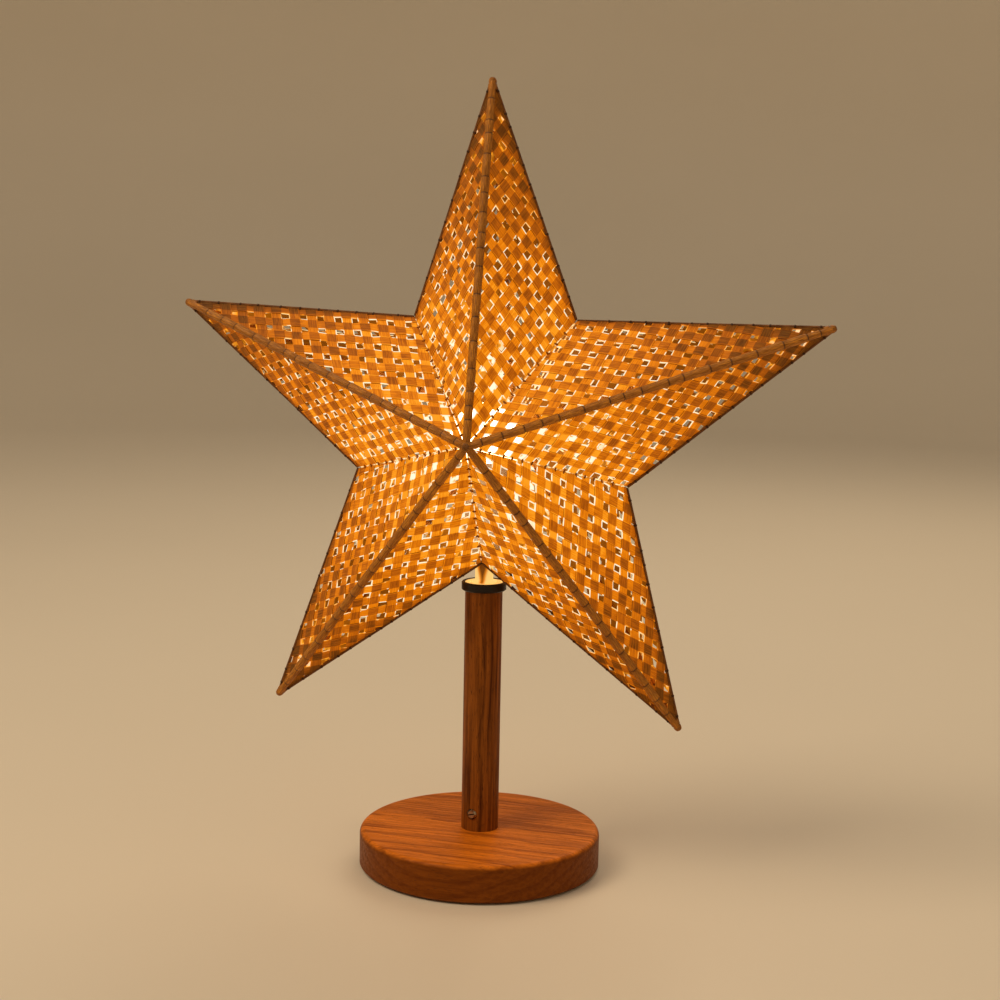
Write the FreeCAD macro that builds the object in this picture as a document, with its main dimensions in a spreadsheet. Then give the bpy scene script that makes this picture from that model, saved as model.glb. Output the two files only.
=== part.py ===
import FreeCAD, Part
import math
import os

import Sketcher
from FreeCAD import Placement, Rotation, Vector

# A table lamp: a hollow five-armed star of woven strips on a round wooden stand.
# Millimetres, +Z up. The origin is under the middle of the base, on the stem's axis,
# and the star faces -Y. The star turns about the stem's axis.

doc = FreeCAD.newDocument("woven_star_lamp")
sheet = doc.addObject("Spreadsheet::Sheet", "dims")

DIMENSIONS = {
    # stand
    "felt_radius": 71.0,
    "felt_height": 1.2,
    "base_radius": 75.0,
    "base_height": 22.6,
    "base_rounding": 3.5,
    "base_bevel": 1.0,
    "counterbore_radius": 17.0,
    "counterbore_depth": 13.0,
    "socket_depth": 3.0,
    "stem_radius": 11.55,
    "stem_length": 157.8,
    "stem_bore_radius": 5.5,
    "stem_bevel": 0.5,
    "fit_gap": 0.05,
    # hollow threaded tube that ties the stand together, with its nut and washer
    "tube_radius": 5.0,
    "tube_bore_radius": 4.0,
    "tube_foot": 3.6,
    "washer_radius": 14.0,
    "washer_height": 1.6,
    "nut_corner_radius": 9.24,
    "nut_height": 5.0,
    # cord bush in the back of the base
    "bush_height": 8.8,
    "bush_radius": 4.6,
    "bush_bore_radius": 3.2,
    "bush_length": 13.0,
    "bush_seat": 72.6,
    "bush_flange_radius": 6.2,
    "bush_flange_height": 2.2,
    # clamp screw in the foot of the stem
    "screw_height": 34.8,
    "screw_bearing": -15.5,
    "screw_radius": 1.5,
    "screw_head_radius": 2.1,
    "screw_head_height": 1.1,
    "screw_slot_width": 0.8,
    "screw_slot_depth": 0.6,
    "cup_radius": 3.3,
    "cup_lip_radius": 2.3,
    "cup_height": 1.6,
    "cup_floor": 0.4,
    "cup_seat": 10.9,
    # ferrule, disc and spacer at the stem's head
    "ferrule_radius": 13.8,
    "ferrule_height": 5.4,
    "ferrule_rounding": 0.7,
    "disc_height": 1.4,
    "disc_gap": 0.4,
    "spacer_radius": 5.6,
    "spacer_foot_radius": 7.4,
    "spacer_foot_height": 0.8,
    "bridge_gap": 0.1,
    "bridge_bottom": 193.9,
    "bridge_height": 1.6,
    "bridge_width": 12.0,
    "turning_fit": 0.06,
    # lamp holder
    "holder_radius": 12.5,
    "holder_wall": 1.2,
    "holder_neck_radius": 7.6,
    "holder_neck_height": 3.5,
    "holder_cone_height": 6.0,
    "holder_cap_height": 16.5,
    "holder_barrel_height": 24.0,
    "holder_lip_radius": 9.6,
    "holder_lip_height": 2.0,
    "insert_foot": 10.6,
    "insert_floor": 5.4,
    "insert_height": 8.0,
    "insert_bore_radius": 2.0,
    "shell_radius": 6.95,
    "shell_wall": 0.5,
    "shell_height": 19.9,
    "shell_hole_radius": 3.4,
    "contact_radius": 2.6,
    "contact_height": 1.3,
    # bulb
    "pin_radius": 2.2,
    "pin_height": 1.0,
    "pin_gap": 0.1,
    "cap_radius": 6.9,
    "cap_wall": 0.5,
    "cap_taper": 2.2,
    "cap_height": 19.0,
    "neck_length": 7.0,
    "housing_foot_radius": 7.4,
    "housing_flare": 9.0,
    "housing_flare_radius": 10.0,
    "housing_height": 23.5,
    "housing_top_radius": 18.7,
    "housing_wall": 1.6,
    "globe_radius": 22.5,
    "globe_wall": 1.0,
    "globe_cut": 12.5,
    "board_radius": 15.95,
    "board_height": 1.6,
    "chip_size": 2.8,
    "chip_height": 0.7,
    "chip_ring_radius": 10.5,
    # star
    "star_height": 269.7,
    "star_shift": 3.8,
    "hub_depth": 71.7,
    "hub_shift": -1.0,
    "hub_rise": 1.7,
    "corner_reach": 87.0,
    "mouth_reach": 75.0,
    "mouth_half_gap": 13.0,
    "panel_thickness": 1.2,
    "panel_tip_gap": 1.6,
    "rib_radius": 2.5,
    "rib_tip_gap": 1.4,
    "rib_hub_gap": 5.8,
    "rim_radius": 1.3,
    "seam_gap": 0.8,
    "binding_gap": 0.15,
    "tip_length": 11.0,
    "tip_nose_radius": 2.0,
    "tip_foot_radius": 5.0,
    "knot_radius": 4.5,
    "reach_top": 214.0,
    "reach_right": 215.0,
    "reach_low_right": 212.0,
    "reach_low_left": 218.0,
    "reach_left": 211.0,
    "angle_top": 91.1,
    "angle_right": 19.5,
    "angle_low_right": -55.7,
    "angle_low_left": -128.7,
    "angle_left": -201.5,
}
for row, (alias, number) in enumerate(DIMENSIONS.items(), start=1):
    sheet.set(f"A{row}", alias)
    sheet.set(f"B{row}", str(number))
    sheet.setAlias(f"B{row}", alias)
doc.recompute()

# A radius on the axis, or a height at a piece's own foot: the sum of no values.
NOTHING = ""

# Levels on the lamp's axis, each a sum of the sheet's values.
BASE_TOP = "felt_height + base_height"
STEM_FOOT = BASE_TOP + " - socket_depth"
STEM_TOP = STEM_FOOT + " + stem_length"
DISC_TOP = STEM_TOP + " + disc_height"
FERRULE_TOP = DISC_TOP + " + disc_gap"
COUNTERBORE_TOP = "felt_height + counterbore_depth"
HOLDER_FOOT = "bridge_bottom + bridge_height + bridge_gap"
NECK_TOP = HOLDER_FOOT + " + holder_neck_height"
CONE_TOP = NECK_TOP + " + holder_cone_height"
BARREL_FOOT = HOLDER_FOOT + " + holder_cap_height"
BARREL_TOP = BARREL_FOOT + " + holder_barrel_height"
INSERT_FOOT = HOLDER_FOOT + " + insert_foot"
SHELL_FOOT = INSERT_FOOT + " + insert_floor"
PIN_FOOT = SHELL_FOOT + " + contact_height + pin_gap"
CAP_FOOT = PIN_FOOT + " + pin_height"
CAP_TOP = PIN_FOOT + " + cap_height"
HOUSING_TOP = CAP_TOP + " + housing_height"
GLOBE_CENTRE = HOUSING_TOP + " + globe_cut"


def bound(total):
    """The sum as an expression over the sheet."""
    return " ".join(word if word in "+-" else "dims." + word for word in total.split())


def size(total):
    """The length that the sum comes to."""
    length = 0.0
    sign = 1.0
    for word in total.split():
        if word in "+-":
            sign = 1.0 if word == "+" else -1.0
        else:
            length += sign * sheet.get(word)
    return length


# ---- makers ----------------------------------------------------------------------------


def lay_on_plane(body, name, role):
    """A sketch of the body on one of its own origin planes."""
    sketch = body.newObject("Sketcher::SketchObject", name)
    plane = next(part for part in body.Origin.OriginFeatures if part.Role == role)
    sketch.AttachmentSupport = (plane, [""])
    sketch.MapMode = "FlatFace"
    return sketch


def close_loop(sketch, points):
    """A closed loop of straight lines, each joined to the next."""
    count = len(points)
    for i, point in enumerate(points):
        sketch.addGeometry(Part.LineSegment(point, points[(i + 1) % count]), False)
    for i in range(count):
        sketch.addConstraint(Sketcher.Constraint("Coincident", i, 2, (i + 1) % count, 1))


def turned(label, profile):
    """A round piece spun about the axis. A profile point is (radius, height), as sums."""
    body = doc.addObject("PartDesign::Body", label)
    sketch = lay_on_plane(body, label + "_profile", "XZ_Plane")
    close_loop(sketch, [Vector(size(radius), size(height), 0) for radius, height in profile])
    for i, point in enumerate(profile):
        for kind, axis, total in (("DistanceX", -2, point[0]), ("DistanceY", -1, point[1])):
            if size(total) < 1e-9:
                sketch.addConstraint(Sketcher.Constraint("PointOnObject", i, 1, axis))
                continue
            number = sketch.addConstraint(Sketcher.Constraint(kind, -1, 1, i, 1, size(total)))
            sketch.setExpression(f"Constraints[{number}]", bound(total))
    spin = body.newObject("PartDesign::Revolution", label + "_spin")
    spin.Profile = sketch
    spin.ReferenceAxis = (sketch, ["V_Axis"])
    spin.Angle = 360
    body.Tip = spin
    return body


def cylinder(label, radius, height, foot="", placement=None):
    """An upright cylinder on the axis whose foot is at a level, or one laid by a placement."""
    rod = doc.addObject("Part::Cylinder", label)
    rod.setExpression("Radius", bound(radius))
    rod.setExpression("Height", bound(height))
    if placement:
        rod.Placement = placement
    elif foot:
        rod.setExpression("Placement.Base.z", bound(foot))
    return rod


def cut(label, blank, *tools):
    """The blank with every tool's space taken out of it."""
    tool = tools[0]
    if len(tools) > 1:
        tool = doc.addObject("Part::MultiFuse", label + "_tools")
        tool.Shapes = list(tools)
    piece = doc.addObject("Part::Cut", label)
    piece.Base = blank
    piece.Tool = tool
    return piece


def along(start, direction):
    """The placement that stands a +Z piece on the start point, along the direction."""
    return Placement(start, Rotation(Vector(0, 0, 1), direction))


def round_edges(label, blank, radius, level, far_out):
    """The blank with its round edges at one level and one radius rolled over."""
    doc.recompute()
    chosen = []
    for number, edge in enumerate(blank.Shape.Edges, start=1):
        box = edge.BoundBox
        level_edge = box.ZLength < 1e-6 and abs(box.ZMin - size(level)) < 1e-6
        if level_edge and abs(box.XLength / 2 - size(far_out)) < 1e-6:
            chosen.append((number, size(radius), size(radius)))
    rounded = doc.addObject("Part::Fillet", label)
    rounded.Base = blank
    rounded.Edges = chosen
    return rounded


# ---- stand -----------------------------------------------------------------------------


def make_base():
    """The felt and the turned disc, with its counterbore, stem socket and cord hole."""
    cylinder("felt_pad", "felt_radius", "felt_height")
    blank = turned("base_blank", [
        ("stem_bore_radius", "felt_height"),
        ("base_radius - base_bevel", "felt_height"),
        ("base_radius", "felt_height + base_bevel"),
        ("base_radius", BASE_TOP),
        ("stem_bore_radius", BASE_TOP),
    ])
    rounded = round_edges("base_rounded", blank, "base_rounding", BASE_TOP, "base_radius")
    back = Rotation(Vector(0, 0, 1), Vector(0, 1, 0))
    cord_hole = cylinder("cord_hole", "bush_radius", "base_radius",
                         placement=Placement(Vector(0, 0, size("bush_height")), back))
    seat = Placement(Vector(0, size("bush_seat"), size("bush_height")), back)
    return cut(
        "base_disc",
        rounded,
        cylinder("counterbore", "counterbore_radius", "counterbore_depth", "felt_height"),
        cylinder("stem_socket", "stem_radius + fit_gap", "socket_depth", STEM_FOOT),
        cord_hole,
        cylinder("bush_spotface", "bush_flange_radius + fit_gap", "base_radius", placement=seat),
    )


def make_cord_bush():
    """A flanged rubber bush that lines the cord's way out of the back of the base."""
    bush = turned("cord_bush", [
        ("bush_bore_radius", NOTHING),
        ("bush_radius", NOTHING),
        ("bush_radius", "bush_length"),
        ("bush_flange_radius", "bush_length"),
        ("bush_flange_radius", "bush_length + bush_flange_height"),
        ("bush_bore_radius", "bush_length + bush_flange_height"),
    ])
    foot = Vector(0, size("bush_seat - bush_length"), size("bush_height"))
    bush.Placement = along(foot, Vector(0, 1, 0))
    return bush


def make_tie():
    """The threaded tube through the whole stand, with the washer and nut under the base."""
    turned("threaded_tube", [
        ("tube_bore_radius", "tube_foot"),
        ("tube_radius", "tube_foot"),
        ("tube_radius", CONE_TOP),
        ("tube_bore_radius", CONE_TOP),
    ])
    turned("base_washer", [
        ("tube_radius + fit_gap", COUNTERBORE_TOP + " - washer_height"),
        ("washer_radius", COUNTERBORE_TOP + " - washer_height"),
        ("washer_radius", COUNTERBORE_TOP),
        ("tube_radius + fit_gap", COUNTERBORE_TOP),
    ])
    hexagon = doc.addObject("Part::Prism", "nut_blank")
    hexagon.Polygon = 6
    hexagon.setExpression("Circumradius", bound("nut_corner_radius"))
    hexagon.setExpression("Height", bound("nut_height"))
    nut_foot = COUNTERBORE_TOP + " - washer_height - nut_height"
    hexagon.setExpression("Placement.Base.z", bound(nut_foot))
    cut("base_nut", hexagon, cylinder("nut_thread", "tube_radius + fit_gap", "nut_height", nut_foot))


def make_stem():
    """The stem, and the slotted screw in a cup washer that clamps it on the tube."""
    bearing = math.radians(size("screw_bearing"))
    outward = Vector(math.sin(bearing), -math.cos(bearing), 0)
    height = Vector(0, 0, size("screw_height"))
    blank = turned("stem_blank", [
        ("stem_bore_radius", STEM_FOOT),
        ("stem_radius - stem_bevel", STEM_FOOT),
        ("stem_radius", STEM_FOOT + " + stem_bevel"),
        ("stem_radius", STEM_TOP),
        ("stem_bore_radius", STEM_TOP),
    ])
    cut(
        "stem",
        blank,
        cylinder("screw_hole", "screw_radius + fit_gap", "stem_radius",
                 placement=along(height, outward)),
        cylinder("cup_spotface", "cup_radius + fit_gap", "stem_radius",
                 placement=along(height + outward * size("cup_seat"), outward)),
    )
    head_foot = "cup_seat + cup_floor"
    screw_blank = turned("screw_blank", [
        (NOTHING, "tube_radius + fit_gap"),
        ("screw_radius", "tube_radius + fit_gap"),
        ("screw_radius", head_foot),
        ("screw_head_radius", head_foot),
        ("screw_head_radius", head_foot + " + screw_head_height"),
        (NOTHING, head_foot + " + screw_head_height"),
    ])
    slot = doc.addObject("Part::Box", "screw_slot")
    slot.setExpression("Length", bound("screw_head_radius + screw_head_radius"))
    slot.setExpression("Width", bound("screw_slot_width"))
    slot.setExpression("Height", bound("screw_slot_depth"))
    slot.setExpression("Placement.Base.x", "-dims.screw_head_radius")
    slot.setExpression("Placement.Base.y", "-dims.screw_slot_width / 2")
    slot.setExpression(
        "Placement.Base.z", bound(head_foot + " + screw_head_height - screw_slot_depth"))
    cut("stem_screw", screw_blank, slot).Placement = along(height, outward)
    turned("screw_cup", [
        ("screw_radius + fit_gap", "cup_seat"),
        ("cup_radius", "cup_seat"),
        ("cup_lip_radius + fit_gap + fit_gap", "cup_seat + cup_height"),
        ("cup_lip_radius", "cup_seat + cup_height"),
        ("cup_lip_radius", head_foot),
        ("screw_radius + fit_gap", head_foot),
    ]).Placement = along(height, outward)


def make_stem_head():
    """The black ferrule round the stem's head, the pale disc in it and the brass spacer."""
    turned("ferrule", [
        ("stem_radius + fit_gap", FERRULE_TOP + " - ferrule_height"),
        ("ferrule_radius - ferrule_rounding", FERRULE_TOP + " - ferrule_height"),
        ("ferrule_radius", FERRULE_TOP + " - ferrule_height + ferrule_rounding"),
        ("ferrule_radius", FERRULE_TOP + " - ferrule_rounding"),
        ("ferrule_radius - ferrule_rounding", FERRULE_TOP),
        ("stem_radius + ferrule_rounding", FERRULE_TOP),
        ("stem_radius + fit_gap", FERRULE_TOP + " - ferrule_rounding"),
    ])
    turned("stem_disc", [
        ("tube_radius + fit_gap", STEM_TOP),
        ("stem_radius", STEM_TOP),
        ("stem_radius", DISC_TOP),
        ("tube_radius + fit_gap", DISC_TOP),
    ])
    turned("brass_spacer", [
        ("tube_radius + fit_gap", DISC_TOP),
        ("spacer_foot_radius", DISC_TOP),
        ("spacer_foot_radius", DISC_TOP + " + spacer_foot_height"),
        ("spacer_radius", DISC_TOP + " + spacer_foot_height + spacer_foot_height"),
        ("spacer_radius", "bridge_bottom - bridge_gap"),
        ("tube_radius + fit_gap", "bridge_bottom - bridge_gap"),
    ])


# ---- lamp holder and bulb --------------------------------------------------------------


def make_holder():
    """The two-part holder, with the ceramic insert, threaded shell and centre contact."""
    turned("holder_cap", [
        ("tube_radius + fit_gap", HOLDER_FOOT),
        ("holder_neck_radius", HOLDER_FOOT),
        ("holder_neck_radius", NECK_TOP),
        ("holder_radius", CONE_TOP),
        ("holder_radius", BARREL_FOOT),
        ("holder_radius - holder_wall", BARREL_FOOT),
        ("holder_radius - holder_wall", CONE_TOP),
        ("tube_radius + fit_gap", CONE_TOP + " - holder_wall"),
    ])
    turned("holder_barrel", [
        ("holder_radius - holder_wall", BARREL_FOOT),
        ("holder_radius", BARREL_FOOT),
        ("holder_radius", BARREL_TOP),
        ("holder_lip_radius", BARREL_TOP),
        ("holder_lip_radius", BARREL_TOP + " - holder_lip_height"),
        ("holder_radius - holder_wall", BARREL_TOP + " - holder_lip_height"),
    ])
    turned("holder_insert", [
        ("insert_bore_radius", INSERT_FOOT),
        ("holder_radius - holder_wall - fit_gap", INSERT_FOOT),
        ("holder_radius - holder_wall - fit_gap", INSERT_FOOT + " + insert_height"),
        ("shell_radius + shell_wall + fit_gap", INSERT_FOOT + " + insert_height"),
        ("shell_radius + shell_wall + fit_gap", SHELL_FOOT),
        ("insert_bore_radius", SHELL_FOOT),
    ])
    turned("screw_shell", [
        ("shell_hole_radius", SHELL_FOOT),
        ("shell_radius + shell_wall", SHELL_FOOT),
        ("shell_radius + shell_wall", SHELL_FOOT + " + shell_height"),
        ("shell_radius", SHELL_FOOT + " + shell_height"),
        ("shell_radius", SHELL_FOOT + " + shell_wall"),
        ("shell_hole_radius", SHELL_FOOT + " + shell_wall"),
    ])
    cylinder("centre_contact", "contact_radius", "contact_height", SHELL_FOOT)


def make_bulb():
    """A small screw-cap globe bulb: cap, housing, board of light chips and opal globe."""
    turned("bulb_cap", [
        (NOTHING, PIN_FOOT),
        ("pin_radius", PIN_FOOT),
        ("pin_radius", CAP_FOOT),
        ("cap_radius", CAP_FOOT + " + cap_taper"),
        ("cap_radius", CAP_TOP),
        ("cap_radius - cap_wall", CAP_TOP),
        ("cap_radius - cap_wall", CAP_FOOT + " + cap_taper + cap_wall"),
        (NOTHING, CAP_FOOT + " + cap_taper + cap_wall"),
    ])
    neck_radius = "cap_radius - cap_wall - fit_gap"
    turned("bulb_housing", [
        (neck_radius + " - housing_wall", CAP_TOP + " - neck_length"),
        (neck_radius, CAP_TOP + " - neck_length"),
        (neck_radius, CAP_TOP),
        ("housing_foot_radius", CAP_TOP),
        ("housing_flare_radius", CAP_TOP + " + housing_flare"),
        ("housing_top_radius", HOUSING_TOP),
        ("housing_top_radius - housing_wall", HOUSING_TOP),
        ("housing_flare_radius - housing_wall", CAP_TOP + " + housing_flare"),
        (neck_radius + " - housing_wall", CAP_TOP),
    ])
    balls = []
    for name, radius in (("globe_outside", "globe_radius"),
                         ("globe_inside", "globe_radius - globe_wall")):
        ball = doc.addObject("Part::Sphere", name)
        ball.setExpression("Radius", bound(radius))
        ball.setExpression("Placement.Base.z", bound(GLOBE_CENTRE))
        balls.append(ball)
    foot = cylinder("globe_foot", "globe_radius", "globe_radius - globe_cut",
                    HOUSING_TOP + " - globe_radius + globe_cut")
    cut("bulb_globe", balls[0], balls[1], foot)
    board_foot = HOUSING_TOP + " - board_height - fit_gap"
    board = cylinder("board_disc", "board_radius", "board_height", board_foot)
    pieces = [board]
    chip_count = 8
    for i in range(chip_count):
        angle = 360.0 * i / chip_count
        chip = doc.addObject("Part::Box", f"chip_{i + 1}")
        chip.setExpression("Length", bound("chip_size"))
        chip.setExpression("Width", bound("chip_size"))
        chip.setExpression("Height", bound("chip_height"))
        corner = Vector(size("chip_ring_radius"), -size("chip_size") / 2,
                        size(board_foot + " + board_height"))
        turn = Placement(Vector(), Rotation(Vector(0, 0, 1), angle))
        chip.Placement = turn.multiply(Placement(corner, Rotation()))
        pieces.append(chip)
    light = doc.addObject("Part::MultiFuse", "light_board")
    light.Shapes = pieces


# ---- star ------------------------------------------------------------------------------

ARMS = ("top", "right", "low_right", "low_left", "left")
# Each corner lies clockwise of the arm at the same place in the list above.
CORNERS = ("upper_right", "right", "mouth", "left", "upper_left")
SIDES = {"front": -1.0, "back": 1.0}


def star_point(angle, reach, depth=0.0):
    """A point of the star by its angle from +X, its reach from the middle and its depth."""
    turn = math.radians(angle)
    middle = Vector(size("star_shift"), 0, size("star_height"))
    return middle + Vector(reach * math.cos(turn), depth, reach * math.sin(turn))


def tip_of(arm):
    return star_point(size("angle_" + arm), size("reach_" + arm))


def corner_after(arm, side):
    """The inner corner clockwise of an arm. At the mouth the two sides stand apart."""
    place = ARMS.index(arm)
    clockwise = ARMS[(place + 1) % len(ARMS)]
    angle = size("angle_" + clockwise)
    if place == len(ARMS) - 1:
        angle -= 360.0
    middle_angle = (size("angle_" + arm) + angle) / 2
    if CORNERS[place] == "mouth":
        return star_point(middle_angle, size("mouth_reach"), SIDES[side] * size("mouth_half_gap"))
    return star_point(middle_angle, size("corner_reach"))


def hub_of(side):
    return Vector(size("star_shift + hub_shift"), SIDES[side] * size("hub_depth"),
                  size("star_height + hub_rise"))


def rod(label, start, end, radius, start_gap, end_gap):
    """A straight round rod between two points, short of each by its gap."""
    way = end - start
    way.normalize()
    length = (end - start).Length - start_gap - end_gap
    piece = doc.addObject("Part::Cylinder", label)
    piece.setExpression("Radius", bound(radius))
    piece.Height = length
    piece.Placement = along(start + way * start_gap, way)
    return piece


def meet(first, second):
    """Where two lines of a plane cross. Each line is a point and a direction."""
    (a, u), (b, v) = first, second
    share = ((b.x - a.x) * v.y - (b.y - a.y) * v.x) / (u.x * v.y - u.y * v.x)
    return a + u * share


def panel(label, tip, hub, corner):
    """One woven mat: the flat triangle of an arm's tip, the hub and an inner corner,
    cut back from the rib, the rim, the seam and the tip so that they have their room."""
    ridge = hub - tip
    across = corner - tip
    ridge_length = ridge.Length
    ridge.normalize()
    corner_along = across.dot(ridge)
    rise = across - ridge * corner_along
    corner_up = rise.Length
    rise.normalize()
    flat_tip = Vector(0, 0, 0)
    flat_hub = Vector(ridge_length, 0, 0)
    flat_corner = Vector(corner_along, corner_up, 0)
    edge_way = (flat_corner - flat_tip).normalize()
    seam_way = (flat_corner - flat_hub).normalize()
    rib_line = (Vector(0, size("rib_radius + binding_gap"), 0), Vector(1, 0, 0))
    edge_inset = Vector(edge_way.y, -edge_way.x, 0) * size("rim_radius + binding_gap")
    seam_inset = Vector(-seam_way.y, seam_way.x, 0) * size("seam_gap")
    edge_line = (flat_tip + edge_inset, edge_way)
    seam_line = (flat_hub + seam_inset, seam_way)
    tip_line = (Vector(size("tip_length + panel_tip_gap"), 0, 0), Vector(0, 1, 0))
    outline = [
        meet(rib_line, tip_line),
        meet(rib_line, seam_line),
        meet(edge_line, seam_line),
        meet(edge_line, tip_line),
    ]
    body = doc.addObject("PartDesign::Body", label)
    sketch = lay_on_plane(body, label + "_outline", "XY_Plane")
    close_loop(sketch, outline)
    sketch.addConstraint([Sketcher.Constraint("Block", i) for i in range(len(outline))])
    pad = body.newObject("PartDesign::Pad", label + "_mat")
    pad.Profile = sketch
    pad.setExpression("Length", bound("panel_thickness"))
    body.Tip = pad
    normal = ridge.cross(rise)
    turn = Rotation(ridge, rise, normal, "ZXY")
    body.Placement = Placement(tip - normal * (size("panel_thickness") / 2), turn)
    return body


def group(label, pieces):
    """Loose solids kept together as one node."""
    bundle = doc.addObject("Part::Compound", label)
    bundle.Links = pieces
    return bundle


def make_star():
    """Mats, ribs and rim rods of both sides, the tip bindings and the hub knots."""
    middle = star_point(0, 0)
    tip_gap = size("tip_length + rib_tip_gap")
    knot_gap = size("rib_hub_gap")
    corner_gap = size("rim_radius + binding_gap")
    rims = {arm: [] for arm in ARMS}
    tips = []
    knots = []
    for side, way in SIDES.items():
        knot = doc.addObject("Part::Sphere", f"{side}_knot")
        knot.setExpression("Radius", bound("knot_radius"))
        knot.Placement.Base = hub_of(side)
        knots.append(knot)
        for place, arm in enumerate(ARMS):
            before = ARMS[place - 1]
            tip = tip_of(arm)
            hub = hub_of(side)
            corners = {"cw": corner_after(arm, side), "ccw": corner_after(before, side)}
            rod(f"{side}_rib_{arm}", tip, hub, "rib_radius", tip_gap, knot_gap)
            for hand, corner in corners.items():
                panel(f"{side}_panel_{arm}_{hand}", tip, hub, corner)
                if side == "front" or abs(corner.y) > 0:
                    rims[arm].append(rod(f"{side}_rim_{arm}_{hand}", tip, corner,
                                         "rim_radius", tip_gap, corner_gap))
    for arm in ARMS:
        group("rim_rods_" + arm, rims[arm])
        inward = middle - tip_of(arm)
        inward.normalize()
        binding = doc.addObject("Part::Cone", "binding_" + arm)
        binding.setExpression("Radius1", bound("tip_nose_radius"))
        binding.setExpression("Radius2", bound("tip_foot_radius"))
        binding.setExpression("Height", bound("tip_length"))
        binding.Placement = along(tip_of(arm), inward)
        tips.append(binding)
    group("tip_bindings", tips)
    group("hub_knots", knots)
    bridge_blank = doc.addObject("Part::Box", "bridge_blank")
    bridge_blank.setExpression("Length", bound("bridge_width"))
    bridge_blank.setExpression("Width", "2 * (dims.mouth_half_gap - dims.rim_radius - dims.fit_gap)")
    bridge_blank.setExpression("Height", bound("bridge_height"))
    bridge_blank.setExpression("Placement.Base.x", "-dims.bridge_width / 2")
    bridge_blank.setExpression(
        "Placement.Base.y", "dims.rim_radius + dims.fit_gap - dims.mouth_half_gap")
    bridge_blank.setExpression("Placement.Base.z", bound("bridge_bottom"))
    cut("shade_bridge", bridge_blank, cylinder(
        "bridge_hole", "tube_radius + turning_fit", "bridge_height", "bridge_bottom"))


# ---- making, checking and writing ------------------------------------------------------

make_base()
make_cord_bush()
make_tie()
make_stem()
make_stem_head()
make_holder()
make_bulb()
make_star()

NODES = [
    "felt_pad", "base_disc", "cord_bush", "threaded_tube", "base_washer", "base_nut",
    "stem", "stem_screw", "screw_cup", "ferrule", "stem_disc", "brass_spacer",
    "holder_cap", "holder_barrel", "holder_insert", "screw_shell", "centre_contact",
    "bulb_cap", "bulb_housing", "bulb_globe", "light_board",
    "shade_bridge", "tip_bindings", "hub_knots",
]
NODES += ["rim_rods_" + arm for arm in ARMS]
for side_name in SIDES:
    for arm_name in ARMS:
        NODES.append(f"{side_name}_rib_{arm_name}")
        NODES += [f"{side_name}_panel_{arm_name}_{hand}" for hand in ("cw", "ccw")]

doc.recompute()
for item in doc.Objects:
    if "Invalid" in item.State or "Error" in item.State:
        raise RuntimeError(f"{item.Label} did not build: {item.State}")
os.makedirs("parts", exist_ok=True)
for node in NODES:
    matches = doc.getObjectsByLabel(node)
    if len(matches) != 1:
        raise RuntimeError(f"{len(matches)} objects are labelled {node}")
    shape = matches[0].Shape
    if shape.isNull() or not shape.isValid() or not shape.Solids:
        raise RuntimeError(f"{node} has no valid solid")
for node in NODES:
    doc.getObjectsByLabel(node)[0].Shape.exportStep(f"parts/{node}.step")
print(f"{len(NODES)} nodes written")
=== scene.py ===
import math
import random

import bmesh
import bpy
from mathutils import Matrix, Vector
from mathutils.geometry import intersect_line_line


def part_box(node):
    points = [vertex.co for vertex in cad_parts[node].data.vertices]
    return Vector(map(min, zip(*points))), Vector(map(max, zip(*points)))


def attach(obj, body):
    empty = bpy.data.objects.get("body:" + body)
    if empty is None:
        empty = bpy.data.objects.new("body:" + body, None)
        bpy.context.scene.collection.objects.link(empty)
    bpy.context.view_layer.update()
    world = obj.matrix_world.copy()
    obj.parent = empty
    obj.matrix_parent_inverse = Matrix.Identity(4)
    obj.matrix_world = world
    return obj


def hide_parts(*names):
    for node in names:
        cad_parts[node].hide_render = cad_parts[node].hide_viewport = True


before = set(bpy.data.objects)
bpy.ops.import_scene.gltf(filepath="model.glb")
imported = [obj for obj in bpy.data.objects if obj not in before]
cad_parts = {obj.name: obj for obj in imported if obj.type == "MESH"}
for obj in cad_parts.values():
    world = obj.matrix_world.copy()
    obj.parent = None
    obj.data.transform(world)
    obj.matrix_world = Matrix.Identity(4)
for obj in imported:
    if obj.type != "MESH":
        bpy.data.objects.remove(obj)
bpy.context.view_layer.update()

# ---- Camera, floor and studio light ----------------------------------------------------
# The lamp stands on a plain pale table that sweeps up all round like a studio's paper backdrop. It
# is seen from just above the middle of its star and a little to its right, with a large soft
# light on the left. Colours are shown as they are, with no film curve over them.

camera = bpy.data.objects.new("camera", bpy.data.cameras.new("camera"))
camera.data.lens = 65.5
bpy.context.scene.collection.objects.link(camera)
bpy.context.scene.camera = camera
camera_place = (0.2188, -1.0794, 0.3898)
turned_left = math.radians(11.0)
looking_down = math.radians(8.21)
leaning = math.radians(1.11)
camera.matrix_world = (
    Matrix.Translation(camera_place)
    @ Matrix.Rotation(turned_left, 4, "Z")
    @ Matrix.Rotation(math.radians(90) - looking_down, 4, "X")
    @ Matrix.Rotation(leaning, 4, "Z")
)


def add(tree, kind, inputs=None, **settings):
    """A shader node. An input that is given a socket is linked to it, any other is set."""
    made = tree.nodes.new("ShaderNode" + kind)
    for key, value in settings.items():
        setattr(made, key, value)
    for key, value in (inputs or {}).items():
        if isinstance(value, bpy.types.NodeSocket):
            tree.links.new(value, made.inputs[key])
        else:
            made.inputs[key].default_value = value
    return made


def calc(tree, operation, first, second=0.0, third=0.0):
    """The result of a Math node."""
    made = add(tree, "Math", {0: first, 1: second, 2: third}, operation=operation)
    return made.outputs["Value"]


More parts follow.
